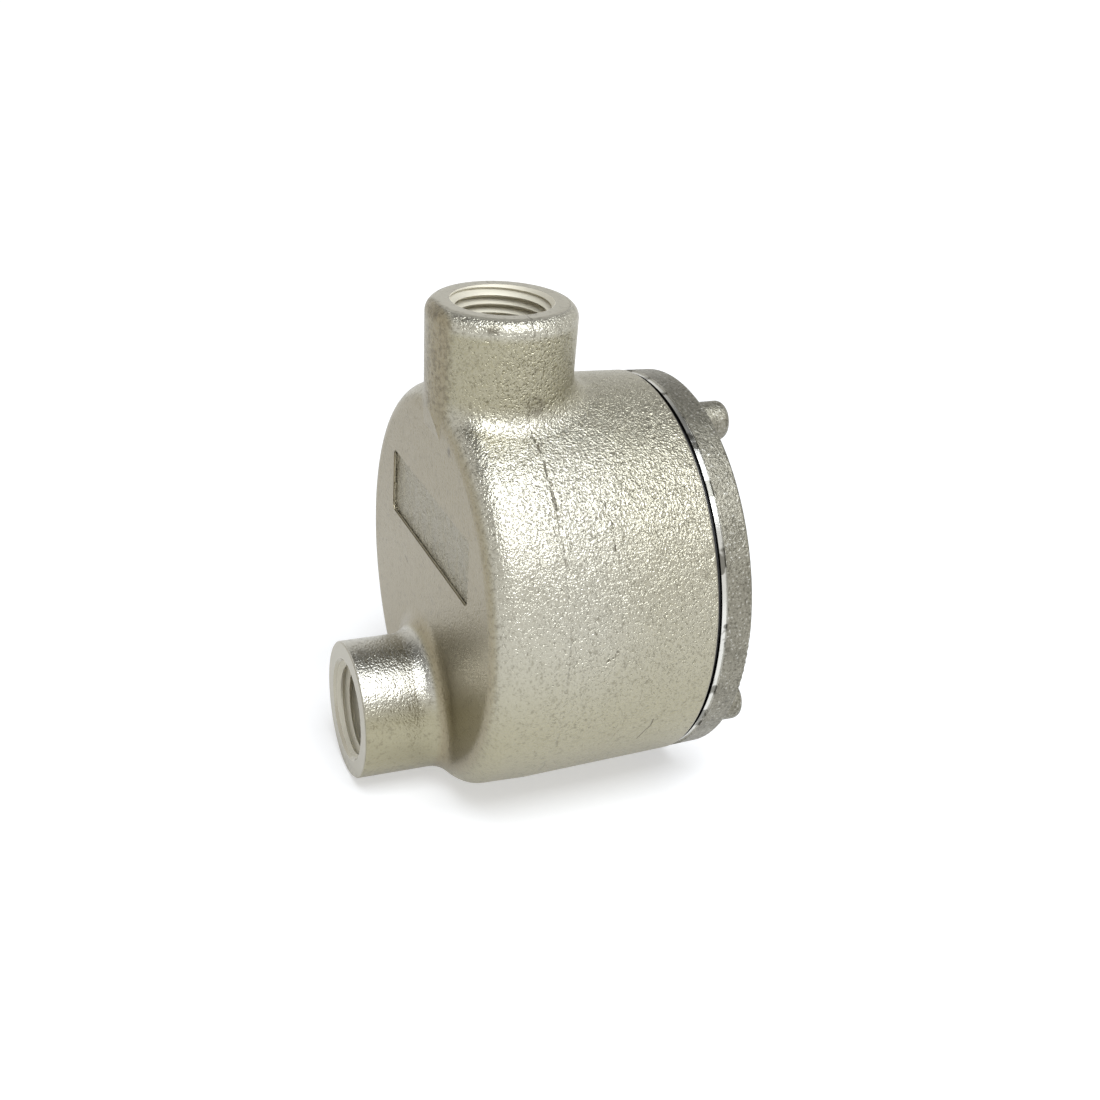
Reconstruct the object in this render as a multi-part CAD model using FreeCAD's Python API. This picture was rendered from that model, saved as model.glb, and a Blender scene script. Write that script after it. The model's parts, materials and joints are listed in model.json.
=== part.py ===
"""Round conduit outlet box: a cast body with a threaded hub on top and one at the back, a screwed cover
with three wrench lugs, the ring that seals the cover, and the ground screw inside.

Millimetres. The body's own axis lies along Y with the cover towards -Y, and the top hub points up.
Everything is drawn about the point where those two axes cross, which is on the casting's parting plane,
and moved at the end so that the origin is the centre of the top hub's mouth.
"""

import FreeCAD, Part
import math
import os

V = FreeCAD.Vector
ORIGIN = V(0, 0, 0)
X_AXIS = V(1, 0, 0)
Y_AXIS = V(0, 1, 0)
Z_AXIS = V(0, 0, 1)
NEAR = 0.02              # how far off a point may be and still count as on a line
PAST = 1.0               # how far a cutter or a buried foot runs past the face that it has to cross
CLEAR_SIDE_DEG = -90     # side of the chamber that neither the hubs nor the ground screw reach

# --- cast body: outside -------------------------------------------------------------------------------
body_r = 43.4            # at the parting plane, the widest place
back_draft_deg = 1.6     # taper from the parting plane to the back face
front_draft_deg = 1.9    # taper from the parting plane to the mouth
front_reach = 33.3       # parting plane to the machined mouth face
casting_fillet = 5.5     # round of the back edge and of both hub roots
wall = 4.8               # side wall at the parting plane
floor_t = 5.0            # wall behind the chamber
chamber_fillet = 4.5     # round between the chamber's side and its floor

# --- hubs: the same thread in both --------------------------------------------------------------------
top_hub_reach = 61.9     # body axis to the top hub's mouth
top_hub_r = 15.5         # outside radius at the mouth
top_hub_draft_deg = 1.026  # the top hub narrows towards the body
top_hub_round = 2.8      # cast round of the mouth's outer edge
hub_stand_out = 1.4      # at its mouth, the top hub's back stands this proud of the back face
hub_root_depth = 9.4     # how far the top hub's core reaches below the body's skin
hub_bevel_len = 7.05     # length over which the proud back dies away
rear_hub_r = 14.95
rear_hub_reach = 17.4    # back face to the rear hub's mouth
rear_hub_inset = 0.08    # the rear hub's lowest line inside the body's lowest line
rear_hub_edge = 0.3      # edge break of the faced mouth
hub_thread_r = 10.6      # root of the 1/2 in taper pipe thread at the mouth
hub_thread_len = 16.5
rear_hub_chamfer = 0.6   # the rear hub is countersunk wider than its thread, the top hub isn't
throat_r = 7.9           # bore of 1/2 in conduit, left as a smooth bushing below the thread
throat_cone_deg = 45.0
throat_round = 1.2       # round where a throat opens into the chamber

# --- label panel on the back face: left bare ----------------------------------------------------------
label_w = 50.0
label_h = 14.4
label_z = 14.2
label_depth = 0.7
label_corner = 1.6

# --- cover thread -------------------------------------------------------------------------------------
cover_thread_relief = 0.5  # the chamber behind the thread is this much wider than the thread's root
cover_thread_depth = 1.1 # the thread's ridges fill this gap between the body and the cover's skirt
cover_thread_len = 16.5  # length cut in the body
mouth_chamfer = 0.8

# --- cover --------------------------------------------------------------------------------------------
cover_gap = 1.1          # mouth face to the cover's machined face
flange_t = 7.0
flange_inset = 0.2       # the cover's rim inside the rim of the body's mouth
flange_draft_deg = 2.0
band_w = 1.1             # machined band beside the gap
band_step = 0.3          # the cast rim stands this far outside the band
skirt_len = 14.0
skirt_t = 5.4
skirt_chamfer = 1.2
plate_t = 5.8
cup_draft_deg = 2.0
cup_fillet = 3.0
rim_round = 0.7
lug_count = 3
lug_r = 4.25
lug_h = 7.7
lug_inset = 6.8          # the cover's rim to the circle of the lugs' centres
lug_start_deg = -11.3    # first lug, measured from straight up towards +X
lug_round = 1.8
lug_root_fillet = 1.2

# --- sealing ring -------------------------------------------------------------------------------------
ring_d = 2.4             # section
ring_wall = 0.73         # metal between the ring's groove and the machined band
ring_play = 0.12         # between the ring and its groove
ring_seat = 0.2          # between the ring and the body's mouth face

# --- ground screw and its boss ------------------------------------------------------------------------
boss_r = 4.8
boss_h = 5.0
boss_fillet = 1.5
boss_clear = 0.3         # between the boss's root fillet and the round at the chamber's side
screw_r = 2.4
screw_len = 8.0
screw_hole_play = 0.05
screw_hole_extra = 1.0
screw_head_af = 8.0
screw_head_t = 3.2
screw_washer_r = 4.7
screw_washer_t = 0.8
screw_slot_w = 1.2
screw_slot_depth = 1.4

# --- worked out ---------------------------------------------------------------------------------------
back_y = top_hub_r - hub_stand_out
mouth_y = -front_reach
back_r = body_r - back_y * math.tan(math.radians(back_draft_deg))
mouth_r = body_r - front_reach * math.tan(math.radians(front_draft_deg))
floor_y = back_y - floor_t
chamber_r = body_r - wall
cover_thread_r = chamber_r - cover_thread_relief
rear_hub_z = -(back_r - rear_hub_r - rear_hub_inset)
rear_mouth_y = back_y + rear_hub_reach
hub_root_z = body_r - hub_root_depth
flange_y = mouth_y - cover_gap
front_y = flange_y - flange_t
flange_r = mouth_r - flange_inset
band_r = flange_r - band_step
lug_circle_r = flange_r - lug_inset
skirt_r = cover_thread_r - cover_thread_depth
ring_y = mouth_y - ring_seat - ring_d / 2
groove_y = ring_y - ring_d / 2 - ring_play
groove_out_r = band_r - ring_wall
groove_in_r = groove_out_r - ring_d - 2 * ring_play
ring_r = (groove_in_r + groove_out_r) / 2
boss_y = floor_y - boss_h
boss_x = chamber_r - chamber_fillet - boss_clear - boss_fillet - boss_r


def corner_arc(before, corner, after, radius):
    """Arc that rounds the corner between two straight runs."""
    to_before = (before - corner).normalize()
    to_after = (after - corner).normalize()
    half_angle = to_before.getAngle(to_after) / 2
    reach = radius / math.tan(half_angle)
    inward = (to_before + to_after).normalize()
    middle = corner + inward * (radius / math.sin(half_angle) - radius)
    return Part.Arc(corner + to_before * reach, middle, corner + to_after * reach)


def outline(corners):
    """Closed wire through corners. Each is a point and the radius of its round, 0 where it is sharp."""
    points = [point for point, _ in corners]
    arcs = []
    runs = []
    for number, (point, radius) in enumerate(corners):
        if radius > 0:
            arc = corner_arc(points[number - 1], point, points[(number + 1) % len(points)], radius)
            arcs.append(arc.toShape())
            runs.append((arc.StartPoint, arc.EndPoint))
        else:
            runs.append((point, point))
    lines = [Part.LineSegment(runs[number - 1][1], runs[number][0]).toShape() for number in range(len(runs))]
    return Part.Wire(Part.__sortEdges__(lines + arcs))


def turned(corners, axis):
    """Solid turned about an axis through the origin from a closed outline."""
    return Part.Face(outline(corners)).revolve(ORIGIN, axis, 360)


def turned_about_y(profile, centre=ORIGIN, seam_deg=180):
    """Solid turned about a line along Y. The profile lists (radius, y), with a third value for a round.
    The surface's own seam lies underneath, or at another angle from the top, where no other edge meets it.
    """
    solid = turned([(V(0, y, r), sum(rounding)) for r, y, *rounding in profile], Y_AXIS)
    solid.rotate(ORIGIN, Y_AXIS, seam_deg)
    solid.translate(centre)
    return solid


def turned_about_z(profile):
    """Solid turned about Z. The profile lists (radius, z), with a third value for a round."""
    return turned([(V(r, 0, z), sum(rounding)) for r, z, *rounding in profile], Z_AXIS)


def edges_where(shape, test):
    return [edge for edge in shape.Edges if test(edge)]


def along(edge):
    """Three points of an edge: its start, its middle and its end."""
    first = edge.FirstParameter
    last = edge.LastParameter
    return [edge.valueAt(first), edge.valueAt((first + last) / 2), edge.valueAt(last)]


def on_circle(edge, centre, radius):
    """Whether an edge lies on that circle, whose axis is along Y."""
    return all(abs(point.y - centre.y) < NEAR and abs(point.distanceToPoint(centre) - radius) < NEAR
               for point in along(edge))


def top_hub_radius(z):
    """Outside radius of the top hub at a height: it narrows a little towards the body."""
    return top_hub_r - (top_hub_reach - z) * math.tan(math.radians(top_hub_draft_deg))


def cast_skin():
    """The body's outside with the top hub and the rear hub run into it."""
    drum = turned_about_y([(0, back_y), (back_r, back_y), (body_r, 0), (mouth_r, mouth_y), (0, mouth_y)])
    top = turned_about_z([(0, top_hub_reach), (top_hub_r, top_hub_reach, top_hub_round),
                          (top_hub_radius(hub_root_z), hub_root_z), (0, hub_root_z)])
    skin = drum.fuse(top)

    def on_top_hub_root(edge):
        middle = along(edge)[1]
        off_hub = math.hypot(middle.x, middle.y) - top_hub_radius(middle.z)
        return abs(off_hub) < NEAR and middle.z < body_r + NEAR and middle.y < back_y - NEAR

    rounded = edges_where(skin, lambda edge: on_circle(edge, V(0, back_y, 0), back_r))
    rounded += edges_where(skin, on_top_hub_root)
    skin = skin.makeFillet(casting_fillet, rounded)

    edge_y = rear_mouth_y - rear_hub_edge
    foot_y = back_y - 2 * casting_fillet
    rear = turned_about_y([(0, rear_mouth_y), (rear_hub_r - rear_hub_edge, rear_mouth_y),
                           (rear_hub_r, edge_y), (rear_hub_r, foot_y), (0, foot_y)], V(0, 0, rear_hub_z))
    skin = skin.fuse(rear)

    def on_rear_hub_root(edge):
        middle = along(edge)[1]
        off_hub = math.hypot(middle.x, middle.z - rear_hub_z) - rear_hub_r
        return abs(off_hub) < NEAR and edge.BoundBox.YMax < back_y + NEAR

    return skin.makeFillet(casting_fillet, edges_where(skin, on_rear_hub_root))


def hub_bore(length_to_chamber):
    """Cutter for one hub, mouth at the origin and pointing up: thread bore, cone and throat."""
    cone = (hub_thread_r - throat_r) / math.tan(math.radians(throat_cone_deg))
    return turned_about_z([(0, PAST), (hub_thread_r, PAST), (hub_thread_r, -hub_thread_len),
                           (throat_r, -hub_thread_len - cone), (throat_r, -length_to_chamber),
                           (0, -length_to_chamber)])


def chamber():
    """Cutter for the inside: the chamber, the bore for the cover's thread and the mouth's chamfer."""
    thread_end_y = mouth_y + cover_thread_len
    wide = cover_thread_r + mouth_chamfer
    room = turned_about_y([(0, floor_y), (chamber_r, floor_y, chamber_fillet), (chamber_r, thread_end_y),
                           (0, thread_end_y)], seam_deg=CLEAR_SIDE_DEG)
    bore = turned_about_y([(0, thread_end_y + PAST), (cover_thread_r - PAST, thread_end_y + PAST),
                           (cover_thread_r, thread_end_y), (cover_thread_r, mouth_y + mouth_chamfer),
                           (wide, mouth_y), (wide, mouth_y - PAST), (0, mouth_y - PAST)],
                          seam_deg=CLEAR_SIDE_DEG)
    return room.fuse(bore)


def label_pocket():
    """Cutter for the shallow sunk panel on the back face."""
    pocket = Part.makeBox(label_w, 2 * label_depth, label_h,
                          V(-label_w / 2, back_y - label_depth, label_z - label_h / 2))
    uprights = edges_where(pocket, lambda edge: edge.BoundBox.YLength > label_depth)
    return pocket.makeFillet(label_corner, uprights)


def hub_back_bevel():
    """Cutter that lets the proud back of the top hub die away into the back face."""
    start_z = hub_root_z + PAST
    top_y = back_y + 2 * hub_stand_out
    top_z = start_z + 2 * hub_bevel_len
    wedge = [V(0, back_y, hub_root_z), V(0, back_y, start_z), V(0, top_y, top_z), V(0, top_y, hub_root_z)]
    cutter = Part.Face(Part.makePolygon(wedge + wedge[:1])).extrude(V(2 * top_hub_r, 0, 0))
    cutter.translate(V(-top_hub_r, 0, 0))
    return cutter


def make_box_body():
    body = cast_skin().cut(hub_back_bevel()).cut(chamber())

    boss = turned_about_y([(0, boss_y), (boss_r, boss_y), (boss_r, floor_y + PAST), (0, floor_y + PAST)],
                          V(boss_x, 0, 0))
    body = body.fuse(boss)
    boss_root = V(boss_x, floor_y, 0)
    body = body.makeFillet(boss_fillet,
                           edges_where(body, lambda edge: on_circle(edge, boss_root, boss_r)))
    hole_depth = screw_len + screw_hole_extra
    hole = Part.makeCylinder(screw_r + screw_hole_play, hole_depth, V(boss_x, boss_y, 0), Y_AXIS)

    top_bore = hub_bore(top_hub_reach - chamber_r / 2)
    top_bore.translate(V(0, 0, top_hub_reach))
    rear_bore = hub_bore(rear_mouth_y - floor_y + PAST)
    rear_bore.rotate(ORIGIN, X_AXIS, -90)
    rear_bore.translate(V(0, rear_mouth_y, rear_hub_z))
    countersink = Part.makeCone(hub_thread_r, hub_thread_r + rear_hub_chamfer + PAST, rear_hub_chamfer + PAST,
                                V(0, rear_mouth_y - rear_hub_chamfer, rear_hub_z), Y_AXIS)
    body = body.cut(hole).cut(top_bore).cut(rear_bore).cut(countersink)

    def on_throat_end(edge):
        middle = along(edge)[1]
        off_top = math.hypot(middle.x, middle.y) - throat_r
        off_rear = math.hypot(middle.x, middle.z - rear_hub_z) - throat_r
        at_top = abs(off_top) < NEAR and 0 < middle.z < chamber_r + NEAR
        at_rear = abs(off_rear) < NEAR and middle.y < floor_y + NEAR
        return (at_top or at_rear) and edge.Length > throat_round

    body = body.makeFillet(throat_round, edges_where(body, on_throat_end))
    return body.cut(label_pocket())


def wrench_lug(angle):
    """One of the lugs that a bar or a spanner turns the cover by, with its foot inside the flange."""
    foot_y = front_y + PAST
    tip_y = front_y - lug_h
    centre = V(lug_circle_r * math.sin(angle), 0, lug_circle_r * math.cos(angle))
    return turned_about_y([(0, foot_y), (lug_r, foot_y), (lug_r, tip_y, lug_round), (0, tip_y)], centre)


def make_cover():
    rim_back_y = flange_y - band_w
    rim_front_r = flange_r - (flange_t - band_w) * math.tan(math.radians(flange_draft_deg))
    skirt_end_y = flange_y + skirt_len
    cup_y = front_y + plate_t
    cup_r = skirt_r - skirt_t
    cup_mouth_r = cup_r + (skirt_end_y - cup_y) * math.tan(math.radians(cup_draft_deg))
    cover = turned_about_y([(0, front_y), (rim_front_r, front_y, rim_round), (flange_r, rim_back_y),
                            (band_r, rim_back_y), (band_r, flange_y), (skirt_r, flange_y),
                            (skirt_r, skirt_end_y - skirt_chamfer), (skirt_r - skirt_chamfer, skirt_end_y),
                            (cup_mouth_r, skirt_end_y), (cup_r, cup_y, cup_fillet), (0, cup_y)])
    groove = turned_about_y([(groove_in_r, groove_y), (groove_out_r, groove_y),
                             (groove_out_r, flange_y + PAST), (groove_in_r, flange_y + PAST)])
    cover = cover.cut(groove)
    for number in range(lug_count):
        angle = math.radians(lug_start_deg + number * 360 / lug_count)
        cover = cover.fuse(wrench_lug(angle))
        root = V(lug_circle_r * math.sin(angle), front_y, lug_circle_r * math.cos(angle))
        cover = cover.makeFillet(lug_root_fillet,
                                 edges_where(cover, lambda edge: on_circle(edge, root, lug_r)))
    return cover


def make_cover_seal():
    return Part.makeTorus(ring_r, ring_d / 2, V(0, ring_y, 0), Y_AXIS)


def make_ground_screw():
    """Slotted hex washer-head screw, head towards the cover."""
    shank = Part.makeCylinder(screw_r, screw_len, V(boss_x, boss_y, 0), Y_AXIS)
    washer = Part.makeCylinder(screw_washer_r, screw_washer_t, V(boss_x, boss_y, 0), -Y_AXIS)
    corner_r = screw_head_af / 2 / math.cos(math.pi / 6)
    corners = []
    for number in range(6):
        angle = math.pi / 6 + number * math.pi / 3
        corners.append(V(boss_x + corner_r * math.cos(angle), boss_y - screw_washer_t,
                         corner_r * math.sin(angle)))
    head = Part.Face(Part.makePolygon(corners + corners[:1])).extrude(V(0, -screw_head_t, 0))
    slot = Part.makeBox(2 * corner_r, screw_slot_depth, screw_slot_w,
                        V(boss_x - corner_r, boss_y - screw_washer_t - screw_head_t, -screw_slot_w / 2))
    return shank.fuse([washer, head]).removeSplitter().cut(slot)


def main():
    nodes = {"box_body": make_box_body(), "cover": make_cover(), "cover_seal": make_cover_seal(),
             "ground_screw": make_ground_screw()}
    os.makedirs("parts", exist_ok=True)
    for name, shape in nodes.items():
        solid = shape.Solids[0]
        solid.translate(V(0, 0, -top_hub_reach))
        solid.exportStep(f"parts/{name}.step")
        print(name, len(shape.Solids), solid.isValid(), round(solid.Volume, 1))


main()
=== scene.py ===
"""Cast conduit outlet box: finishes, threads and studio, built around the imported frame.

Everything is in metres in the frame's own axes: the origin is the centre of the top hub's mouth, +Z points
out of the top hub, +Y out of the back hub, and the screwed cover faces -Y.
"""

import json
import math

import bmesh
import bpy
import numpy as np
from mathutils import Matrix, Vector


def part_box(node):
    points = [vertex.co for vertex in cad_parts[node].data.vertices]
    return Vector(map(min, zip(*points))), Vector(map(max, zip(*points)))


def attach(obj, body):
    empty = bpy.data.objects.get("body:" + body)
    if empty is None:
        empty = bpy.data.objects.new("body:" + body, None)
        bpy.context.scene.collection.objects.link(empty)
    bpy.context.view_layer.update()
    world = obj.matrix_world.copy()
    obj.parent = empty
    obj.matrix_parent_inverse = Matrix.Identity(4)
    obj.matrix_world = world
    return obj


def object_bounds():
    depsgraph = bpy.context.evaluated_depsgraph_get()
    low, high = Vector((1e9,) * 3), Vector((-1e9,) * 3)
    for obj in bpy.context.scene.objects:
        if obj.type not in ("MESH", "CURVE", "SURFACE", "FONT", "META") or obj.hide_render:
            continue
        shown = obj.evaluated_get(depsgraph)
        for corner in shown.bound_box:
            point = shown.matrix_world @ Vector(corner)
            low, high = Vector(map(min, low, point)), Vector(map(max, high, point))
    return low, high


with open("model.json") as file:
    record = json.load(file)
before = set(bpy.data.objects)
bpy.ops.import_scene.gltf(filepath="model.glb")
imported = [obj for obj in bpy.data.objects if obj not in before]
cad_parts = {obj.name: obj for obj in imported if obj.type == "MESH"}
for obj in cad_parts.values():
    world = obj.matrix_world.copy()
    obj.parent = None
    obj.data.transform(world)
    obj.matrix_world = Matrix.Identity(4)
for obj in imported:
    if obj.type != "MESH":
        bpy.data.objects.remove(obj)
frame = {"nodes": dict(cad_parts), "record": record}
CAD_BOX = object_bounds()

bl_info = {
    "name": "Cast Outlet Box",
    "version": (1, 0, 0),
    "blender": (4, 5, 0),
    "location": "3D View > Sidebar > Outlet Box",
    "description": "Dresses a cast iron outlet box: plated skin, pipe threads, cover thread and a studio",
    "category": "Object",
}

MM = 0.001
INCH = 0.0254
X_WAY, Y_WAY, Z_WAY = np.eye(3)
NODES = frame["nodes"]


def mount_named(name):
    """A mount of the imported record."""
    return next(mount for mount in frame["record"]["mounts"] if mount["name"] == name)


# --- places read from the frame -------------------------------------------------------------------------
BODY_LOW, BODY_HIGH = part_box("box_body")
COVER_LOW, COVER_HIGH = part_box("cover")
AXIS_Z = (COVER_LOW.z + COVER_HIGH.z) / 2      # height of the drum's own axis
DRUM_R = BODY_HIGH.x                           # drum at its parting plane, where y is 0
MOUTH_Y = BODY_LOW.y                           # machined mouth face of the box
REAR_MOUTH_Y = BODY_HIGH.y                     # faced end of the back hub
REAR_Z = mount_named("rear_hub")["pos_m"][2]   # height of the back hub's axis

# --- places that the frame doesn't give -----------------------------------------------------------------
HUB_BORE_R = 0.0106                            # plain bore that the pipe threads stand in
HUB_THREAD_LEN = 0.0165
PIPE_TAPER = 1 / 32                            # loss of a pipe thread's radius for each unit of depth
TOP_SINK_R = 0.01052                           # countersink of the top hub at its mouth
TOP_SINK_FALL = 0.71                           # loss of its radius for each unit of depth
REAR_CHAMFER = 0.0006
REAR_SINK_R = 0.0112
REAR_SINK_FALL = 1.0
COVER_BORE_R = 0.0381                          # plain bore that the box's cover thread stands in
COVER_THREAD_LEN = 0.0165
MOUTH_CHAMFER = 0.0008
MOUTH_GAP = 0.0011                             # gap between the mouth and the cover's rim
BAND_WIDTH = 0.0011                            # turned band on the rim, beside the gap
FLANGE_Y = MOUTH_Y - MOUTH_GAP                 # turned back face of the cover's rim
BAND_BACK_Y = FLANGE_Y - BAND_WIDTH            # where the turned band meets the cast rim
SKIRT_R = 0.0370                               # plain skirt that the cover's own thread stands on
SKIRT_LEN = 0.0140
SKIRT_CHAMFER = 0.0012
BACK_Y = 0.0141                                # cast back face
LABEL_Z = AXIS_Z + 0.0142                      # middle of the bare sunk panel
DRUM_DRAFT = math.tan(math.radians(1.9))       # loss of radius in front of the parting plane
SHOW = 0.00002                                 # how far a thread's root stands off the plain bore
HIDE = 0.000005                                # how far a thread's backing stands off it
STOP_SHORT = 0.0001                            # how far a thread ends before its bore or skirt does
START_IN = 0.00001                             # how far behind its mouth a hub's thread begins
WELD = 0.000001
ORIGIN = (0.0, 0.0, 0.0)
DRUM_AXIS = (0.0, 0.0, AXIS_Z)
REAR_AXIS = (0.0, 0.0, REAR_Z)
ACROSS_Y = (1.0, 0.0, 1.0)                     # keeps what lies across the Y axis
ACROSS_Z = (1.0, 1.0, 0.0)                     # keeps what lies across the Z axis


# --- marks in the skin ----------------------------------------------------------------------------------
def at(x, y, z):
    """A place in millimetres."""
    return MM * Vector((x, y, z))


def on_drum(turn, y):
    """A place on the drum's front half: degrees from its top towards -X, and y in millimetres."""
    angle = math.radians(turn)
    radius = DRUM_R - DRUM_DRAFT * abs(MM * y)
    return Vector((-radius * math.sin(angle), MM * y, AXIS_Z + radius * math.cos(angle)))


SEAM_CRACK = [on_drum(turn, -1) for turn in (20, 27, 35, 41, 47)]
SECOND_LINE = (on_drum(46, -11.25), on_drum(54, -11.75), on_drum(60, -11.5))
HOOK_SCRATCH = (on_drum(122, -20.5), on_drum(117.5, -21.5), on_drum(115.5, -22.25),
                on_drum(112.5, -22.25))
BACK_SCRATCH = (at(15.5, BACK_Y / MM, -62), at(13, BACK_Y / MM, -63))
PITS = ((on_drum(88, -9), 0.5 * MM), (on_drum(87.5, -10), 0.4 * MM), (on_drum(86, -11), 0.5 * MM))
STAINS = ((at(-11, 14, -27), 1.5 * MM),
          (at(-2, 15, -1), 2.2 * MM),
          (at(0.5, 14.5, -21), 1.2 * MM),
          (at(-2, 29, -75), 1.6 * MM),
          (at(-15, -2.5, -17.5), 2.8 * MM),
          (at(-13.5, 7, -1.5), 2.0 * MM))
CRACK_WIDTH = 0.00030                          # half widths of the lines
SECOND_WIDTH = 0.00014
HOOK_WIDTH = 0.00022
BACK_WIDTH = 0.00014
CORE = 0.3                                     # share of a mark's half width that has its full depth


# --- shader arithmetic ----------------------------------------------------------------------------------
class Wire:
    """An output socket of a material's tree. Arithmetic on numbers adds Math nodes."""

    def __init__(self, graph, socket):
        self.graph = graph
        self.socket = socket

    def maths(self, operation, *operands):
        """A Math node on these wires and numbers."""
        return self.graph.node("ShaderNodeMath", {"operation": operation}, dict(enumerate(operands)))

    def __add__(self, other):
        return self.maths("ADD", self, other)

    def __radd__(self, other):
        return self.maths("ADD", other, self)

    def __sub__(self, other):
        return self.maths("SUBTRACT", self, other)

    def __rsub__(self, other):
        return self.maths("SUBTRACT", other, self)

    def __mul__(self, other):
        return self.maths("MULTIPLY", self, other)

    def __rmul__(self, other):
        return self.maths("MULTIPLY", other, self)

    def __abs__(self):
        return self.maths("ABSOLUTE", self)

    def lesser(self, other):
        """The smaller of the two."""
        return self.maths("MINIMUM", self, other)

    def greater(self, other):
        """The larger of the two."""
        return self.maths("MAXIMUM", self, other)

    def rise(self, start, end):
        """0 before start, 1 after end, smooth between; start may be the larger."""
        settings = {"interpolation_type": "SMOOTHSTEP"}
        return self.graph.node("ShaderNodeMapRange", settings, {0: self, 1: start, 2: end, 3: 0.0, 4: 1.0})


class Graph:
    """A material's or world's node tree, emptied, and the one way of adding nodes to it."""

    def __init__(self, owner):
        owner.use_nodes = True
        self.tree = owner.node_tree
        self.tree.nodes.clear()

    def node(self, kind, settings=None, sockets=None, output=0):
        """Adds a node: its settings first, then values or wires for its sockets by name or number."""
        node = self.tree.nodes.new(kind)
        for name, value in (settings or {}).items():
            setattr(node, name, value)
        for key, value in (sockets or {}).items():
            if isinstance(value, Wire):
                self.tree.links.new(value.socket, node.inputs[key])
            else:
                node.inputs[key].default_value = value
        return Wire(self, node.outputs[output]) if node.outputs else node

    def coordinates(self, kind="Object"):
        """Where a point of the surface lies, in metres, or another kind of coordinates."""
        return self.node("ShaderNodeTexCoord", output=kind)

    def parts(self, vector):
        """The x, y and z of a vector."""
        return [self.node("ShaderNodeSeparateXYZ", None, {0: vector}, axis) for axis in range(3)]

    def noise(self, vector, scale, detail=2.0, roughness=0.5, output=0):
        """Noise from 0 to 1, or as a colour from output 1; scale is in features to the metre."""
        sockets = {"Vector": vector, "Scale": scale, "Detail": detail, "Roughness": roughness}
        return self.node("ShaderNodeTexNoise", None, sockets, output)

    def vector_maths(self, operation, sockets, output=0):
        """A Vector Math node. Its output 0 is a vector and its output 1 a number."""
        return self.node("ShaderNodeVectorMath", {"operation": operation}, sockets, output)

    def shifted(self, vector, noise, reach):
        """The vector moved about by a noise colour, by up to half the reach each way."""
        off = self.vector_maths("SUBTRACT", {0: noise, 1: (0.5, 0.5, 0.5)})
        off = self.vector_maths("SCALE", {0: off, 3: reach})
        return self.vector_maths("ADD", {0: vector, 1: off})

    def far(self, vector, centre, parts=(1.0, 1.0, 1.0)):
        """Distance from a point, or from a line where a part is 0."""
        off = self.vector_maths("SUBTRACT", {0: vector, 1: centre})
        return self.vector_maths("LENGTH", {0: self.stretched(off, parts)}, 1)

    def dots(self, vector, places):
        """1 in the middle of round marks and 0 outside them. Each has its centre and its radius."""
        mask = 0.0
        for centre, radius in places:
            away = self.far(vector, tuple(centre))
            mask = away.rise(radius, CORE * radius).greater(mask)
        return mask

    def stroke(self, vector, corners, width):
        """1 along a line through corners and 0 beyond its half width."""
        away = None
        for start, end in zip(corners, corners[1:]):
            run = end - start
            off = self.vector_maths("SUBTRACT", {0: vector, 1: tuple(start)})
            along = self.vector_maths("DOT_PRODUCT", {0: off, 1: tuple(run / run.length_squared)}, 1)
            along = along.greater(0.0).lesser(1.0)
            near = self.vector_maths("SCALE", {0: tuple(run), 3: along})
            gap = self.vector_maths("DISTANCE", {0: off, 1: near}, 1)
            away = gap if away is None else away.lesser(gap)
        return away.rise(width, CORE * width)

    def stretched(self, vector, scale):
        """The vector multiplied part by part."""
        return self.vector_maths("MULTIPLY", {0: vector, 1: scale})

    def blend(self, factor, first, second):
        """Colour between two colours."""
        return self.node("ShaderNodeMix", {"data_type": "RGBA"}, {0: factor, 6: first, 7: second}, 2)

    def bump(self, height, distance, normal=None):
        """Normal bent by a height from 0 to 1 of that depth in metres."""
        sockets = {"Height": height, "Distance": distance, "Strength": 1.0}
        if normal is not None:
            sockets["Normal"] = normal
        return self.node("ShaderNodeBump", None, sockets)

    def surface(self, sockets):
        """Principled shader wired to the material's output."""
        shader = self.node("ShaderNodeBsdfPrincipled", None, sockets)
        self.node("ShaderNodeOutputMaterial", None, {"Surface": shader})


def rgb(red, green, blue):
    """A colour as a socket takes it."""
    return (red, green, blue, 1.0)


def grey(level):
    """A neutral colour of that level."""
    return rgb(level, level, level)


# --- settings -------------------------------------------------------------------------------------------
def length(label, text, default):
    """A size of the add-on, in metres."""
    return bpy.props.FloatProperty(name=label, description=text, default=default, subtype="DISTANCE",
                                   unit="LENGTH", precision=5)


def colour(label, text, default):
    """A colour of the add-on."""
    return bpy.props.FloatVectorProperty(name=label, description=text, default=default, size=4,
                                         subtype="COLOR", min=0.0, max=1.0)


def share(label, text, default):
    """A number of the add-on from 0 to 1."""
    return bpy.props.FloatProperty(name=label, description=text, default=default, subtype="FACTOR",
                                   min=0.0, max=1.0)


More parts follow.
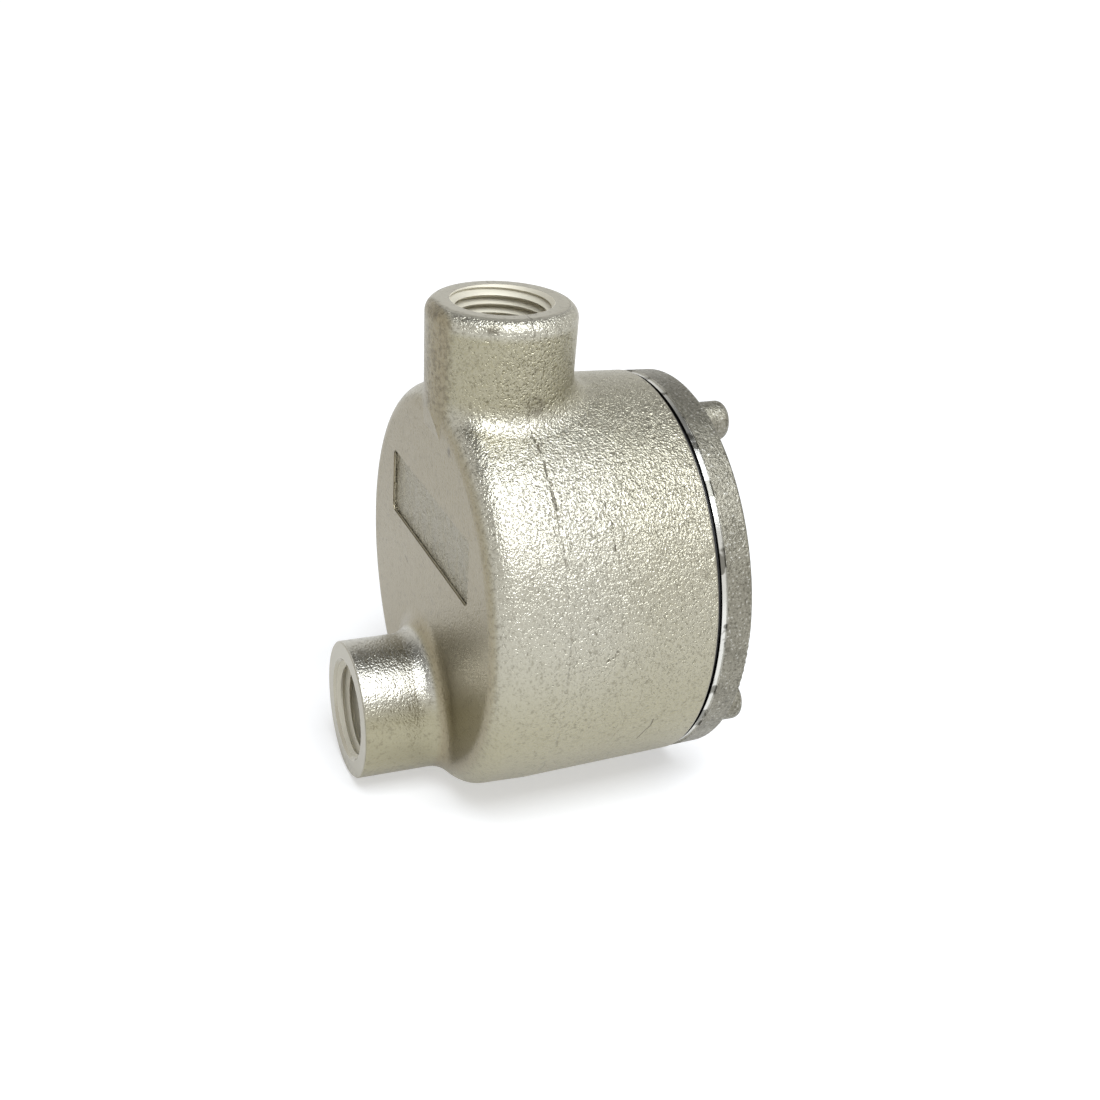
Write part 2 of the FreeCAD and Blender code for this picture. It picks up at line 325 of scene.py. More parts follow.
class SkinSettings(bpy.types.PropertyGroup):
    """Plated cast iron of the box."""
    plate: colour("Plating", "Zinc plating over the cast skin", rgb(0.352, 0.325, 0.220))
    # Worn plating on the grain's crests, and also the painted highlight on the upper faces, the hub's root
    # and lip and the back hub's barrel top.
    bright: colour("Worn plating", "Plating rubbed bright on the grain's crests", rgb(0.56, 0.545, 0.49))
    # Painted shade: darker plating over the flat back face.
    back_shade: colour("Dull plating", "Plating on the flat back", rgb(0.295, 0.256, 0.170))
    # Brown bloom of the stains, also used for the painted shade in the grain's hollows and along the back's
    # edge.
    stain_and_shade: colour("Stain", "Brown bloom in the plating", rgb(0.105, 0.088, 0.056))
    cut: colour("Cut face", "Faces and threads machined before plating", rgb(0.41, 0.385, 0.31))
    # Oily thread roots, and also the painted shade further down each bore.
    oil_and_shade: colour("Cutting oil", "Dark oil left in the roots of the threads", rgb(0.030, 0.026, 0.018))
    # Painted highlight: the top hub's countersink made nearly white.
    sink_highlight: colour("Rubbed edge", "Countersink of the top hub", rgb(0.90, 0.90, 0.88))
    roughness: share("Roughness", "Roughness of the plating", 0.31)
    grain: length("Grain depth", "Depth of the sand cast grain", 0.00064)
    grain_size: length("Grain size", "Distance between the grain's crests", 0.00054)


class PipeThreadSettings(bpy.types.PropertyGroup):
    """Taper pipe thread cut in both hubs."""
    pitch: length("Pitch", "Crest to crest, 14 to the inch", INCH / 14)
    depth: length("Depth", "Root to crest", 0.001451)
    crest: length("Crest", "Width of the flat on a crest", 0.00007)
    taper: bpy.props.FloatProperty(name="Taper", description="Loss of radius for each unit of depth",
                                   default=PIPE_TAPER)


class CoverThreadSettings(bpy.types.PropertyGroup):
    """Straight thread between the box and its cover."""
    pitch: length("Pitch", "Crest to crest, 12 to the inch", INCH / 12)
    depth: length("Depth", "Root to crest", 0.001)
    crest: length("Crest", "Width of the flat on a crest", 0.0003)
    flank: length("Flank", "Length that a flank takes along the axis", 0.000577)


class CoverSettings(bpy.types.PropertyGroup):
    """Cast aluminium of the cover."""
    skin: colour("Cast skin", "Weathered cast aluminium", rgb(0.265, 0.25, 0.20))
    dirt: colour("Dark skin", "Oxide in the skin's hollows", rgb(0.105, 0.098, 0.075))
    cut: colour("Cut face", "Turned aluminium", rgb(0.66, 0.65, 0.60))
    # Painted shade: the cover's seat in the gap beside the seal made near black.
    gap_shade: colour("Grease", "Black grease on the seat beside the seal", rgb(0.012, 0.012, 0.012))
    grain: length("Grain depth", "Depth of the cast skin's grain", 0.00030)


class StudioSettings(bpy.types.PropertyGroup):
    """Soft box, air and floor."""
    key_power: bpy.props.FloatProperty(name="Key light", description="Power of the overhead soft box",
                                       default=7.2, subtype="POWER", unit="POWER")
    key_width: length("Key width", "Side of the overhead soft box along the box's own axis", 0.66)
    key_height: length("Key height", "Side of the overhead soft box across the box's own axis", 0.46)
    key_distance: length("Key distance", "Overhead soft box to the object", 0.7)
    air: share("Air light", "Strength of the light from all around", 0.36)
    ceiling: share("Ceiling", "How bright the ceiling looks to polished metal", 0.18)
    floor_glow: share("Floor glow", "What the floor gives to the eye beside the light that falls on it", 0.50)


# --- threads --------------------------------------------------------------------------------------------
PIPE_FLANK = math.radians(30)                  # slope of a pipe thread's flank from square to its axis
PIPE_COLUMNS = 144                             # places round a thread at which its profile is set out
COVER_COLUMNS = 240
RUN_IN = 0.0005                                # depth at which the cover's own thread begins
CREASE = math.radians(35)                      # edges sharper than this stay sharp


def thread_ring(name, body, mouth, outward, across, radius_at, backing, span, pitch, corners, columns):
    """Closed ring with a right handed thread on one face. Depths are counted inwards from the mouth.

    radius_at(depth, phase) gives the threaded face, where the phase counts pitches along the screw, backing
    is the radius of the plain face that lies in or on the metal, span holds the first and the last depth,
    and corners are the phases at which the profile turns. Outward points out of the mouth, and across is
    the direction from which the turn is counted.
    """
    first, last = span
    turns = range(math.floor(first / pitch), math.ceil(last / pitch) + 2)
    phases = np.array([turn + corner for turn in turns for corner in corners])
    angles = np.linspace(0.0, 2 * math.pi, columns + 1)
    depth = np.clip(pitch * (phases[:, None] - angles[None, :] / (2 * math.pi)), first, last)
    radius = radius_at(depth, depth / pitch + angles[None, :] / (2 * math.pi))
    ends = np.ones((1, columns + 1))
    depth = np.vstack((first * ends, depth, last * ends, first * ends))
    radius = np.vstack((backing * ends, radius, backing * ends, backing * ends))
    sideways = np.cross(outward, across)
    ring = np.cos(angles)[:, None] * across + np.sin(angles)[:, None] * sideways
    points = mouth + radius[:, :, None] * ring[None] - depth[:, :, None] * outward
    rows = len(depth)
    corner = np.arange(rows * (columns + 1)).reshape(rows, columns + 1)
    faces = np.stack((corner[:-1, :-1], corner[1:, :-1], corner[1:, 1:], corner[:-1, 1:]), -1).reshape(-1, 4)
    mesh = bpy.data.meshes.new(name)
    mesh.from_pydata(points.reshape(-1, 3).tolist(), [], faces.tolist())
    shell = bmesh.new()
    shell.from_mesh(mesh)
    bmesh.ops.remove_doubles(shell, verts=shell.verts, dist=WELD)
    bmesh.ops.recalc_face_normals(shell, faces=shell.faces)
    shell.to_mesh(mesh)
    shell.free()
    mesh.shade_smooth()
    mesh.set_sharp_from_angle(angle=CREASE)
    piece = bpy.data.objects.new(name, mesh)
    bpy.context.scene.collection.objects.link(piece)
    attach(piece, body)
    return piece


def ridge(phase, crest, flank):
    """Height of a thread's ridge from 0 to 1. Crest and flank are shares of the pitch."""
    off = np.abs(phase - np.round(phase))
    return np.clip((crest / 2 + flank - off) / flank, 0.0, 1.0)


def ridge_corners(crest, flank):
    """Phases at which that ridge's profile turns, with one halfway up each flank."""
    half = crest / 2
    return [half, half + flank / 2, half + flank, 1 - half - flank, 1 - half - flank / 2, 1 - half]


def pipe_thread(name, settings, mouth, outward, across, start, sink_r, sink_fall):
    """Taper thread in a hub. The countersink is sink_r wide at the mouth and narrows by sink_fall."""
    crest = settings.crest / settings.pitch
    flank = settings.depth * math.tan(PIPE_FLANK) / settings.pitch

    def radius_at(depth, phase):
        thread = HUB_BORE_R - depth * settings.taper - settings.depth * ridge(phase, crest, flank)
        return np.minimum(np.maximum(thread, sink_r - sink_fall * depth), HUB_BORE_R - SHOW)

    return thread_ring(name, "box", mouth, outward, across, radius_at, HUB_BORE_R - HIDE,
                       (start, HUB_THREAD_LEN - STOP_SHORT), settings.pitch,
                       ridge_corners(crest, flank), PIPE_COLUMNS)


# --- finishes -------------------------------------------------------------------------------------------
# Soft edges, in metres: a mask is 0 at the first number and 1 at the second.
TOP_BORE = (0.01075, 0.01065)                  # distance from the top hub's axis
TOP_BORE_END = (-0.0200, -0.0195)              # z
TOP_ROOTS_START = (-0.0011, -0.0014)
TOP_BORE_SHADE = (-0.0014, -0.0060)
SINK = (0.01062, 0.01052)                      # distance from the top hub's axis
SINK_END = (-0.0015, -0.0012)
TOP_FACE = (-0.00022, -0.00008)
REAR_BORE = (0.01135, 0.01125)                 # distance from the back hub's axis
REAR_BORE_END = (0.0145, 0.0150)               # y
REAR_ROOTS_START = (0.0012, 0.0018)            # depth below the back hub's mouth
REAR_BORE_SHADE = (0.0014, 0.0060)
REAR_FACE = (REAR_MOUTH_Y - 0.00022, REAR_MOUTH_Y - 0.00008)
MOUTH_FACE = (MOUTH_Y + 0.0002, MOUTH_Y + 0.0001)
ROOTS = (0.00920, 0.00958)                     # a pipe thread's radius with its taper taken out
BACK = (0.0128, BACK_Y)                        # y
BARREL = (0.0150, 0.0165)                      # y
LABEL_EDGE = (0.01395, 0.0136)                 # y
LABEL_FLOOR = (0.0128, 0.0131)
LABEL_HALF_WIDTH = (0.0252, 0.0248)
LABEL_HALF_HEIGHT = (0.0074, 0.0070)
UPPER = (-0.082, -0.050)                       # z
BACK_HALF = (-0.002, 0.009)                    # y
# These four place the painted highlight on the plating.
FRONT_HALF = (-0.004, -0.022)                  # y
HUB_ROOT = (-0.0165, -0.0215)                  # z
HUB_LIP = (-0.0045, -0.0025)                   # z
BARREL_TOP = (-0.086, -0.079)                  # z
# Where the painted shade along the back's edge lies.
EDGE_SHADE_REACH = (0.0390, 0.0415)                 # distance from the drum's axis
EDGE_SHADE_Y = (0.0124, 0.0135)
SEAM_EDGE = (0.00040, 0.00004)                 # distance from the parting seam
BAND = (BAND_BACK_Y - 0.00008, BAND_BACK_Y + 0.00004)
BAND_REACH = (0.0364, 0.0367)                  # distance from the drum's axis
# Where the painted shade of the gap lies on the cover's seat.
SEAT = (FLANGE_Y - 0.00006, FLANGE_Y - 0.00002)
SEAT_REACH = (0.0373, 0.0376)

# Noise, in features to the metre.
WANDER = 420                                   # moves grain and marks about
FINE_GRAIN = 3300
SWELL = 330
MOTTLE = 900
BLOTCH = 55
STAIN_CLOUD = 420
SEAM_WAVES = 260
SEAM_BREAKS = 90
CRACK_BREAKS = 700
SKIN_GRIT = 1700
SKIN_LUMPS = 620
SKIN_PATCHES = 150
BLOOM = 500
RUBBER_PORES = 2500
SCREW_TINT = 600
SCREW_PORES = 1800
TURNED_LINES = (90.0, 9000.0, 90.0)            # along each axis

# Depths, as shares of the grain's full depth, and distances in metres.
MARK_DEPTH = 0.35
SEAM_DEPTH = 0.14
SEAM_SHIFT = 0.0009                            # how far in front of the parting plane the seam runs
SEAM_WOBBLE = 0.0014
GRAIN_BEND = 0.0010                            # how far noise moves the grain about
MARK_BEND = 0.0016                             # how far it moves the marks about
RUBBER_GRAIN = 0.00003
SCREW_GRAIN = 0.00002

RUBBER = grey(0.010)
RUBBER_BLOOM = rgb(0.035, 0.035, 0.034)
SCREW_GREEN = rgb(0.02, 0.15, 0.045)
SCREW_PALE = rgb(0.045, 0.27, 0.09)


class IronPlaces:
    """Masks that are 1 on one kind of face of the casting and 0 on the others."""

    def __init__(self, graph):
        self.vector = graph.coordinates()
        x, y, z = graph.parts(self.vector)
        top_reach = graph.far(self.vector, ORIGIN, ACROSS_Z)
        rear_reach = graph.far(self.vector, REAR_AXIS, ACROSS_Y)
        rear_depth = REAR_MOUTH_Y - y
        top_bore = top_reach.rise(*TOP_BORE) * z.rise(*TOP_BORE_END)
        rear_bore = rear_reach.rise(*REAR_BORE) * y.rise(*REAR_BORE_END)
        top_roots = (top_reach - z * PIPE_TAPER).rise(*ROOTS) * top_bore * z.rise(*TOP_ROOTS_START)
        rear_roots = (rear_reach + rear_depth * PIPE_TAPER).rise(*ROOTS) * rear_bore
        self.bores = top_bore.greater(rear_bore)
        self.roots = top_roots.greater(rear_roots * rear_depth.rise(*REAR_ROOTS_START))
        # painted shade, darker further down each bore
        self.bore_shade = (z.rise(*TOP_BORE_SHADE) * top_bore).greater(rear_depth.rise(*REAR_BORE_SHADE) * rear_bore)
        self.sink = top_bore * z.rise(*SINK_END) * top_reach.rise(*SINK)
        self.top_face = z.rise(*TOP_FACE)
        self.cut = self.bores.greater(y.rise(*REAR_FACE).greater(y.rise(*MOUTH_FACE)))
        self.back = y.rise(*BACK) * (1 - y.rise(*BARREL))
        self.barrel = y.rise(*BARREL) * (1 - self.cut)
        label = y.rise(*LABEL_EDGE) * y.rise(*LABEL_FLOOR)
        self.label = label * abs(x).rise(*LABEL_HALF_WIDTH) * abs(z - LABEL_Z).rise(*LABEL_HALF_HEIGHT)
        self.upper = z.rise(*UPPER)
        self.y = y
        self.z = z


class IronGrain:
    """The sand cast grain: its height, its crests and hollows, and how much of it each face has."""

    def __init__(self, graph, settings, places):
        vector = places.vector
        self.wander = graph.noise(vector, WANDER, output=1)
        bent = graph.shifted(vector, self.wander, GRAIN_BEND)
        self.ripple = graph.noise(bent, 1 / settings.grain_size, 1.5, 0.55)
        fine = graph.noise(bent, FINE_GRAIN, 1.0)
        swell = graph.noise(vector, SWELL, 1.0)
        self.mottle = graph.noise(vector, MOTTLE, 3.0, 0.6)
        self.crests = (1 - abs(self.ripple * 2 - 1) * 3).greater(0.0)
        strength = (0.58 + 0.42 * places.upper) * (1 - 0.30 * places.y.rise(*BACK_HALF))
        strength = strength * (1 - 0.50 * places.back) * (1 - 0.25 * places.barrel)
        strength = strength * (1 - 0.85 * places.top_face) * (1 - places.cut)
        strength = strength.greater(places.label * 1.6)
        self.painted = strength.lesser(1.0)
        waves = self.crests * 0.07 + self.ripple * 0.68 + fine * 0.20
        self.height = (waves + swell * (0.30 + 0.9 * places.label)) * strength


class IronMarks:
    """The parting seam, the crack, scratches and pits, the stains, and a painted shade along the back's
    rounded edge.
    """

    def __init__(self, graph, places, grain):
        vector = places.vector
        drift = graph.shifted(vector, grain.wander, MARK_BEND)
        wobble = (graph.noise(vector, SEAM_WAVES) - 0.5) * SEAM_WOBBLE
        seam = abs(places.y + SEAM_SHIFT + wobble).rise(*SEAM_EDGE)
        seam = seam * graph.noise(vector, SEAM_BREAKS).rise(0.36, 0.52)
        self.seam = seam * (1 - places.cut) * (1 - places.barrel) * (1 - places.back)
        crack = graph.stroke(drift, SEAM_CRACK, CRACK_WIDTH)
        crack = crack.greater(graph.stroke(drift, SECOND_LINE, SECOND_WIDTH))
        crack = crack * (0.25 + 0.75 * graph.noise(vector, CRACK_BREAKS).rise(0.36, 0.50))
        scratch = graph.stroke(vector, HOOK_SCRATCH, HOOK_WIDTH)
        scratch = scratch.greater(graph.stroke(vector, BACK_SCRATCH, BACK_WIDTH))
        self.cuts = crack.greater(scratch).greater(graph.dots(drift, PITS))
        cloud = graph.noise(vector, STAIN_CLOUD, 3.0, 0.6).rise(0.38, 0.62)
        self.stains = graph.dots(drift, STAINS) * (0.15 + 0.6 * cloud)
        self.patches = grain.mottle.rise(0.42, 0.60)
        # painted shade along the back's rounded edge, broken up by the patches
        edge = graph.far(vector, DRUM_AXIS, ACROSS_Y).rise(*EDGE_SHADE_REACH)
        self.edge_shade = edge * places.y.rise(*EDGE_SHADE_Y) * self.patches


def iron_colour(graph, settings, places, grain, marks):
    """The plating's colour: painted highlight on the upper faces, the hub's root and lip and the back hub's
    barrel top; painted shade on the back face, in the grain's hollows, further down the bores and along the
    back's edge; darker in the thread roots and the stains.
    """
    y, z = places.y, places.z
    # painted highlight: the upper faces, the hub's root and lip and the back hub's barrel top made lighter
    painted_highlight = 0.5 * places.upper * (1 - 0.5 * y.rise(*FRONT_HALF))
    painted_highlight = painted_highlight * z.rise(*HUB_ROOT).greater(z.rise(*HUB_LIP))
    painted_highlight = painted_highlight.greater(0.85 * places.barrel * z.rise(*BARREL_TOP)) * (1 - places.back)
    # painted highlight blended in, with the painted shade of the flat back over it
    base = graph.blend(places.back, graph.blend(painted_highlight, settings.plate, settings.bright), settings.back_shade)
    base = graph.blend(grain.crests * grain.painted * 0.25, base, settings.bright)
    base = graph.blend(grain.mottle.rise(0.54, 0.70) * 0.34 * (1 - places.cut), base, settings.stain_and_shade)
    # painted shade in the grain's hollows
    base = graph.blend(grain.ripple.rise(0.42, 0.28) * grain.painted * 0.34, base, settings.stain_and_shade)
    base = graph.blend(places.label * 0.15, base, settings.stain_and_shade)
    base = graph.blend(places.cut, base, settings.cut)
    # oily thread roots, and the painted shade further down each bore
    base = graph.blend((places.roots * 0.95).greater(places.bore_shade * 0.55), base, settings.oil_and_shade)
    # painted highlight on the top hub's countersink
    base = graph.blend(places.sink, base, settings.sink_highlight)
    # the stains, and the painted shade along the back's edge
    base = graph.blend(marks.stains.greater(marks.edge_shade * 0.35), base, settings.stain_and_shade)
    return graph.blend((marks.cuts * 0.7).greater(marks.seam * 0.35 * marks.patches), base, settings.stain_and_shade)


def plated_iron(settings):
    """Zinc plated sand casting, bright and rough, with cut faces and threads."""
    material = bpy.data.materials.new("plated_iron")
    graph = Graph(material)
    places = IronPlaces(graph)
    grain = IronGrain(graph, settings, places)
    marks = IronMarks(graph, places, grain)
    height = grain.height - MARK_DEPTH * marks.cuts - SEAM_DEPTH * marks.seam
    blotch = graph.noise(places.vector, BLOTCH, 3.0, 0.6)
    graph.surface({"Base Color": iron_colour(graph, settings, places, grain, marks),
                   "Metallic": 1.0 - 0.4 * marks.stains - 0.6 * places.roots,
                   "Roughness": settings.roughness + 0.10 * (blotch - 0.5) - 0.08 * places.bores,
                   "Normal": graph.bump(height, settings.grain)})
    return material


def cast_aluminium(settings):
    """Weathered cast aluminium, with the band and the thread that were turned."""
    material = bpy.data.materials.new("cast_aluminium")
    graph = Graph(material)
    vector = graph.coordinates()
    y = graph.parts(vector)[1]
    reach = graph.far(vector, DRUM_AXIS, ACROSS_Y)
    band = y.rise(*BAND) * reach.rise(*BAND_REACH)
    seat = y.rise(*SEAT) * reach.rise(*SEAT_REACH)
    grit = graph.noise(vector, SKIN_GRIT, 3.0, 0.65)
    lumps = graph.noise(vector, SKIN_LUMPS)
    patches = graph.noise(vector, SKIN_PATCHES, 3.0, 0.55)
    lines = graph.noise(graph.stretched(vector, TURNED_LINES), 1.0)
    height = (grit * 0.7 + lumps * 0.5) * (1 - band) + lines * 0.05 * band
    base = graph.blend(patches.rise(0.42, 0.62) * 0.28, settings.skin, settings.dirt)
    base = graph.blend(grit.rise(0.49, 0.36) * 0.75, base, settings.dirt)
    base = graph.blend(grit.rise(0.58, 0.70) * 0.7, base, settings.cut)
    turned = graph.blend(patches.rise(0.56, 0.60) * 0.8, settings.cut, settings.dirt)
    base = graph.blend(band, base, turned)
    # painted shade in the gap: the seat beside the seal near black
    base = graph.blend(seat * 0.97, base, settings.gap_shade)
    graph.surface({"Base Color": base, "Metallic": 1.0, "Roughness": 0.42 - 0.18 * band,
                   "Normal": graph.bump(height, settings.grain)})
    return material


def seal_rubber():
    """Black moulded rubber with a dusty bloom."""
    material = bpy.data.materials.new("seal_rubber")
    graph = Graph(material)
    vector = graph.coordinates()
    bloom = graph.noise(vector, BLOOM, 3.0)
    graph.surface({"Base Color": graph.blend(bloom, RUBBER, RUBBER_BLOOM),
                   "Roughness": 0.45 + 0.25 * bloom,
                   "Normal": graph.bump(graph.noise(vector, RUBBER_PORES), RUBBER_GRAIN)})
    return material


def green_steel():
    """Steel screw in the green that marks an earth terminal."""
    material = bpy.data.materials.new("green_steel")
    graph = Graph(material)
    vector = graph.coordinates()
    tint = graph.noise(vector, SCREW_TINT)
    graph.surface({"Base Color": graph.blend(tint, SCREW_GREEN, SCREW_PALE), "Metallic": 0.7,
                   "Roughness": 0.28 + 0.15 * tint,
                   "Normal": graph.bump(graph.noise(vector, SCREW_PORES), SCREW_GRAIN)})
    return material


def dress(piece, material):
    """Gives a piece its finish."""
    piece.data.materials.clear()
    piece.data.materials.append(material)


# --- stage ----------------------------------------------------------------------------------------------
VIEW_AZIMUTH = 246.3448
VIEW_ELEVATION = 25.6641
VIEW_ROLL = 3.8331
VIEW_DISTANCE = 0.303506
VIEW_TARGET = Vector((-0.031818, 0.0, -0.040479))
LENS_MM = 51.38
SENSOR_MM = 36.0
KEY_DIRECTION = (-0.43, -0.05, 0.85)
KEY_TINT = (0.90, 0.94, 1.0)
OVERHEAD = (0.35, 0.85)                        # height in the sky at which the ceiling fades in
MIRRORED_GLOW = 0.42                           # what the floor gives to polished metal
FLOOR_HALF = 4.0
FLOOR_DROP = 0.0001
FLOOR_PAINT = grey(0.62)
FLOOR_FAR = (0.15, 0.60)                       # distance at which the far floor's glow fades in
FLOOR_FAR_GLOW = grey(1.6)
WHITE = grey(1.0)


def make_camera():
    """Camera on a line through the target, turned a little about its own line of sight."""
    azimuth, elevation, roll = (math.radians(angle) for angle in (VIEW_AZIMUTH, VIEW_ELEVATION, VIEW_ROLL))
    back = Vector((math.sin(azimuth) * math.cos(elevation), -math.cos(azimuth) * math.cos(elevation),
                   math.sin(elevation)))
    level = Vector((math.cos(azimuth), math.sin(azimuth), 0.0))
    upright = back.cross(level)
    right = math.cos(roll) * level + math.sin(roll) * upright
    up = math.cos(roll) * upright - math.sin(roll) * level
    turn = Matrix((right, up, back)).transposed().to_4x4()
    data = bpy.data.cameras.new("camera")
    data.lens = LENS_MM
    data.sensor_width = SENSOR_MM
    data.clip_start = 0.01
    camera = bpy.data.objects.new("camera", data)
    camera.matrix_world = Matrix.Translation(VIEW_TARGET + VIEW_DISTANCE * back) @ turn
    bpy.context.scene.collection.objects.link(camera)
    bpy.context.scene.camera = camera


def soft_box(name, direction, distance, width, height, power, tint):
    """Area lamp aimed at the object's middle."""
    data = bpy.data.lights.new(name, "AREA")
    data.shape = "RECTANGLE"
    data.size = width
    data.size_y = height
    data.energy = power
    data.color = tint
    lamp = bpy.data.objects.new(name, data)
    towards = Vector(direction).normalized()
    middle = (CAD_BOX[0] + CAD_BOX[1]) / 2
    turn = towards.to_track_quat("Z", "Y").to_matrix().to_4x4()
    lamp.matrix_world = Matrix.Translation(middle + distance * towards) @ turn
    bpy.context.scene.collection.objects.link(lamp)


def seen_directly(graph):
    """1 for rays from the camera and for rays that metal or glass sends on, else 0."""
    kinds = [graph.node("ShaderNodeLightPath", output=name)
             for name in ("Is Camera Ray", "Is Glossy Ray", "Is Transmission Ray")]
    return kinds[0].greater(kinds[1]).greater(kinds[2])


def make_world(settings):
    """White to the eye; to polished metal, white at the horizon and dim overhead."""
    world = bpy.data.worlds.new("studio_air")
    graph = Graph(world)
    eye = graph.node("ShaderNodeLightPath", output="Is Camera Ray")
    mirrored = seen_directly(graph) * (1 - eye)
    overhead = graph.parts(graph.coordinates("Generated"))[2].rise(*OVERHEAD)
    mirror = 1 - (1 - settings.ceiling) * overhead
    strength = eye + mirror * mirrored + settings.air * (1 - seen_directly(graph))
    sky = graph.node("ShaderNodeBackground", None, {"Color": WHITE, "Strength": strength})
    graph.node("ShaderNodeOutputWorld", None, {"Surface": sky})
    bpy.context.scene.world = world


def make_floor(settings):
    """Plain pale floor, white to the eye where no shadow falls."""
    side = FLOOR_HALF
    low = CAD_BOX[0].z - FLOOR_DROP
    mesh = bpy.data.meshes.new("floor")
    corners = [(-side, -side, low), (side, -side, low), (side, side, low), (-side, side, low)]
    mesh.from_pydata(corners, [], [(0, 1, 2, 3)])
    floor = bpy.data.objects.new("floor", mesh)
    bpy.context.scene.collection.objects.link(floor)
    material = bpy.data.materials.new("pale_floor")
    graph = Graph(material)
    paint = graph.node("ShaderNodeBsdfDiffuse", None, {"Color": FLOOR_PAINT})
    eye = graph.node("ShaderNodeLightPath", output="Is Camera Ray")
    strength = MIRRORED_GLOW * seen_directly(graph) - (MIRRORED_GLOW - settings.floor_glow) * eye
    away = graph.far(graph.coordinates(), ORIGIN, ACROSS_Z).rise(*FLOOR_FAR)
    light = graph.blend(away, WHITE, FLOOR_FAR_GLOW)
    glow = graph.node("ShaderNodeEmission", None, {"Color": light, "Strength": strength})
    both = graph.node("ShaderNodeAddShader", None, {0: paint, 1: glow})
    graph.node("ShaderNodeOutputMaterial", None, {"Surface": both})
    mesh.materials.append(material)


# --- operators ------------------------------------------------------------------------------------------
class OUTLETBOX_OT_finishes(bpy.types.Operator):
    """Give each carried-over piece its finish"""
    bl_idname = "outletbox.finishes"
    bl_label = "Finishes"

    def execute(self, context):
        scene = context.scene
        dress(NODES["box_body"], plated_iron(scene.outletbox_skin))
        dress(NODES["cover"], cast_aluminium(scene.outletbox_cover))
        dress(NODES["cover_seal"], seal_rubber())
        dress(NODES["ground_screw"], green_steel())
        return {"FINISHED"}


class OUTLETBOX_OT_hub_threads(bpy.types.Operator):
    """Cut the taper pipe threads in the top hub and the back hub"""
    bl_idname = "outletbox.hub_threads"
    bl_label = "Hub Threads"

    def execute(self, context):
        settings = context.scene.outletbox_pipe_thread
        top_mouth = np.array(ORIGIN)
        rear_mouth = np.array((0.0, REAR_MOUTH_Y, REAR_Z))
        top = pipe_thread("top_hub_thread", settings, top_mouth, Z_WAY, X_WAY, START_IN,
                          TOP_SINK_R, TOP_SINK_FALL)
        rear = pipe_thread("rear_hub_thread", settings, rear_mouth, Y_WAY, Z_WAY, REAR_CHAMFER + START_IN,
                           REAR_SINK_R, REAR_SINK_FALL)
        for piece in (top, rear):
            dress(piece, bpy.data.materials["plated_iron"])
        return {"FINISHED"}


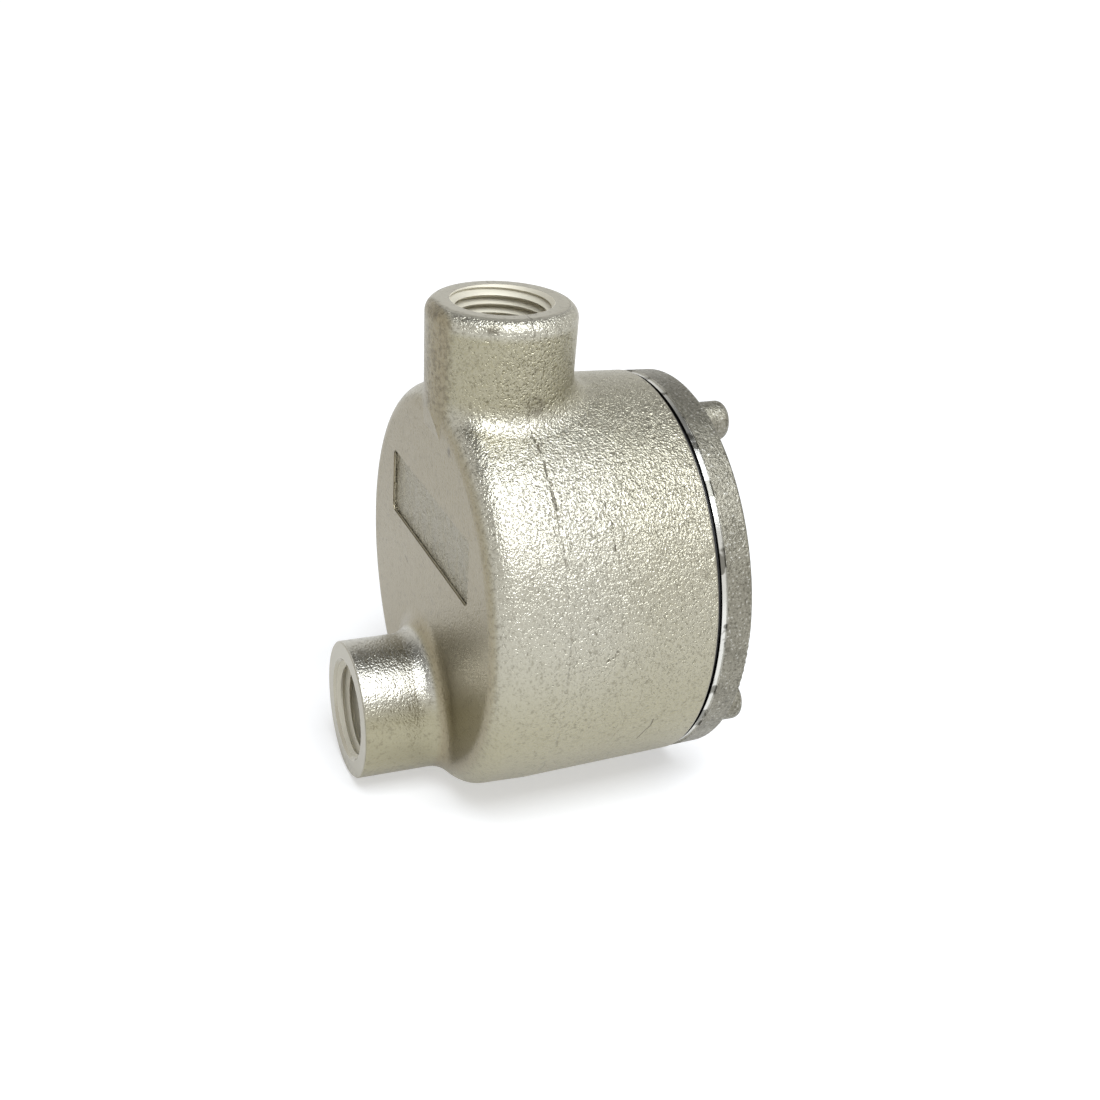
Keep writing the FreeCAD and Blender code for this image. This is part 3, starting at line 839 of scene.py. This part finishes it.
class OUTLETBOX_OT_cover_thread(bpy.types.Operator):
    """Cut the thread between the box and its cover, half in each"""
    bl_idname = "outletbox.cover_thread"
    bl_label = "Cover Thread"

    def execute(self, context):
        settings = context.scene.outletbox_cover_thread
        crest = settings.crest / settings.pitch
        flank = settings.flank / settings.pitch
        corners = ridge_corners(crest, flank)
        mouth = np.array((0.0, MOUTH_Y, AXIS_Z))
        male = (RUN_IN, SKIRT_LEN - SKIRT_CHAMFER - MOUTH_GAP - STOP_SHORT)
        female = (MOUTH_CHAMFER + 2 * SHOW, COVER_THREAD_LEN - STOP_SHORT)

        def in_box(depth, phase):
            thread = COVER_BORE_R - SHOW - settings.depth * ridge(phase, crest, flank)
            return np.minimum(np.maximum(thread, COVER_BORE_R + MOUTH_CHAMFER - depth), COVER_BORE_R - SHOW)

        def on_cover(depth, phase):
            thread = SKIRT_R + SHOW + settings.depth * ridge(phase + 0.5, crest, flank)
            run_out = np.minimum(depth - male[0], male[1] - depth)
            return np.minimum(thread, SKIRT_R + SHOW + run_out)

        box_half = thread_ring("box_cover_thread", "box", mouth, -Y_WAY, X_WAY, in_box,
                               COVER_BORE_R - HIDE, female, settings.pitch, corners, COVER_COLUMNS)
        cover_half = thread_ring("cover_thread", "cover", mouth, -Y_WAY, X_WAY, on_cover,
                                 SKIRT_R + HIDE, male, settings.pitch, corners, COVER_COLUMNS)
        dress(box_half, bpy.data.materials["plated_iron"])
        dress(cover_half, bpy.data.materials["cast_aluminium"])
        return {"FINISHED"}


class OUTLETBOX_OT_stage(bpy.types.Operator):
    """Set up the camera, the floor, the air and the soft box"""
    bl_idname = "outletbox.stage"
    bl_label = "Stage"

    def execute(self, context):
        settings = context.scene.outletbox_studio
        make_camera()
        make_world(settings)
        make_floor(settings)
        soft_box("key", KEY_DIRECTION, settings.key_distance, settings.key_width,
                 settings.key_height, settings.key_power, KEY_TINT)
        context.scene.view_settings.view_transform = "Standard"
        return {"FINISHED"}


class OUTLETBOX_PT_panel(bpy.types.Panel):
    """The steps, in the 3D view's sidebar"""
    bl_idname = "OUTLETBOX_PT_panel"
    bl_label = "Outlet Box"
    bl_space_type = "VIEW_3D"
    bl_region_type = "UI"
    bl_category = "Outlet Box"

    def draw(self, context):
        for operator in STEPS:
            self.layout.operator(operator.bl_idname)


SETTINGS = {"outletbox_skin": SkinSettings, "outletbox_pipe_thread": PipeThreadSettings,
            "outletbox_cover_thread": CoverThreadSettings, "outletbox_cover": CoverSettings,
            "outletbox_studio": StudioSettings}
STEPS = (OUTLETBOX_OT_finishes, OUTLETBOX_OT_hub_threads, OUTLETBOX_OT_cover_thread, OUTLETBOX_OT_stage)


def register():
    """Adds the settings, the steps and the panel."""
    for group in SETTINGS.values():
        bpy.utils.register_class(group)
    for operator in STEPS:
        bpy.utils.register_class(operator)
    bpy.utils.register_class(OUTLETBOX_PT_panel)
    for name, group in SETTINGS.items():
        setattr(bpy.types.Scene, name, bpy.props.PointerProperty(type=group))


def unregister():
    """Takes them away again."""
    for name in SETTINGS:
        delattr(bpy.types.Scene, name)
    bpy.utils.unregister_class(OUTLETBOX_PT_panel)
    for operator in reversed(STEPS):
        bpy.utils.unregister_class(operator)
    for group in SETTINGS.values():
        bpy.utils.unregister_class(group)


def main():
    """Runs the steps in order."""
    register()
    for operator in STEPS:
        package, name = operator.bl_idname.split(".")
        getattr(getattr(bpy.ops, package), name)()


if __name__ == "__main__":
    main()
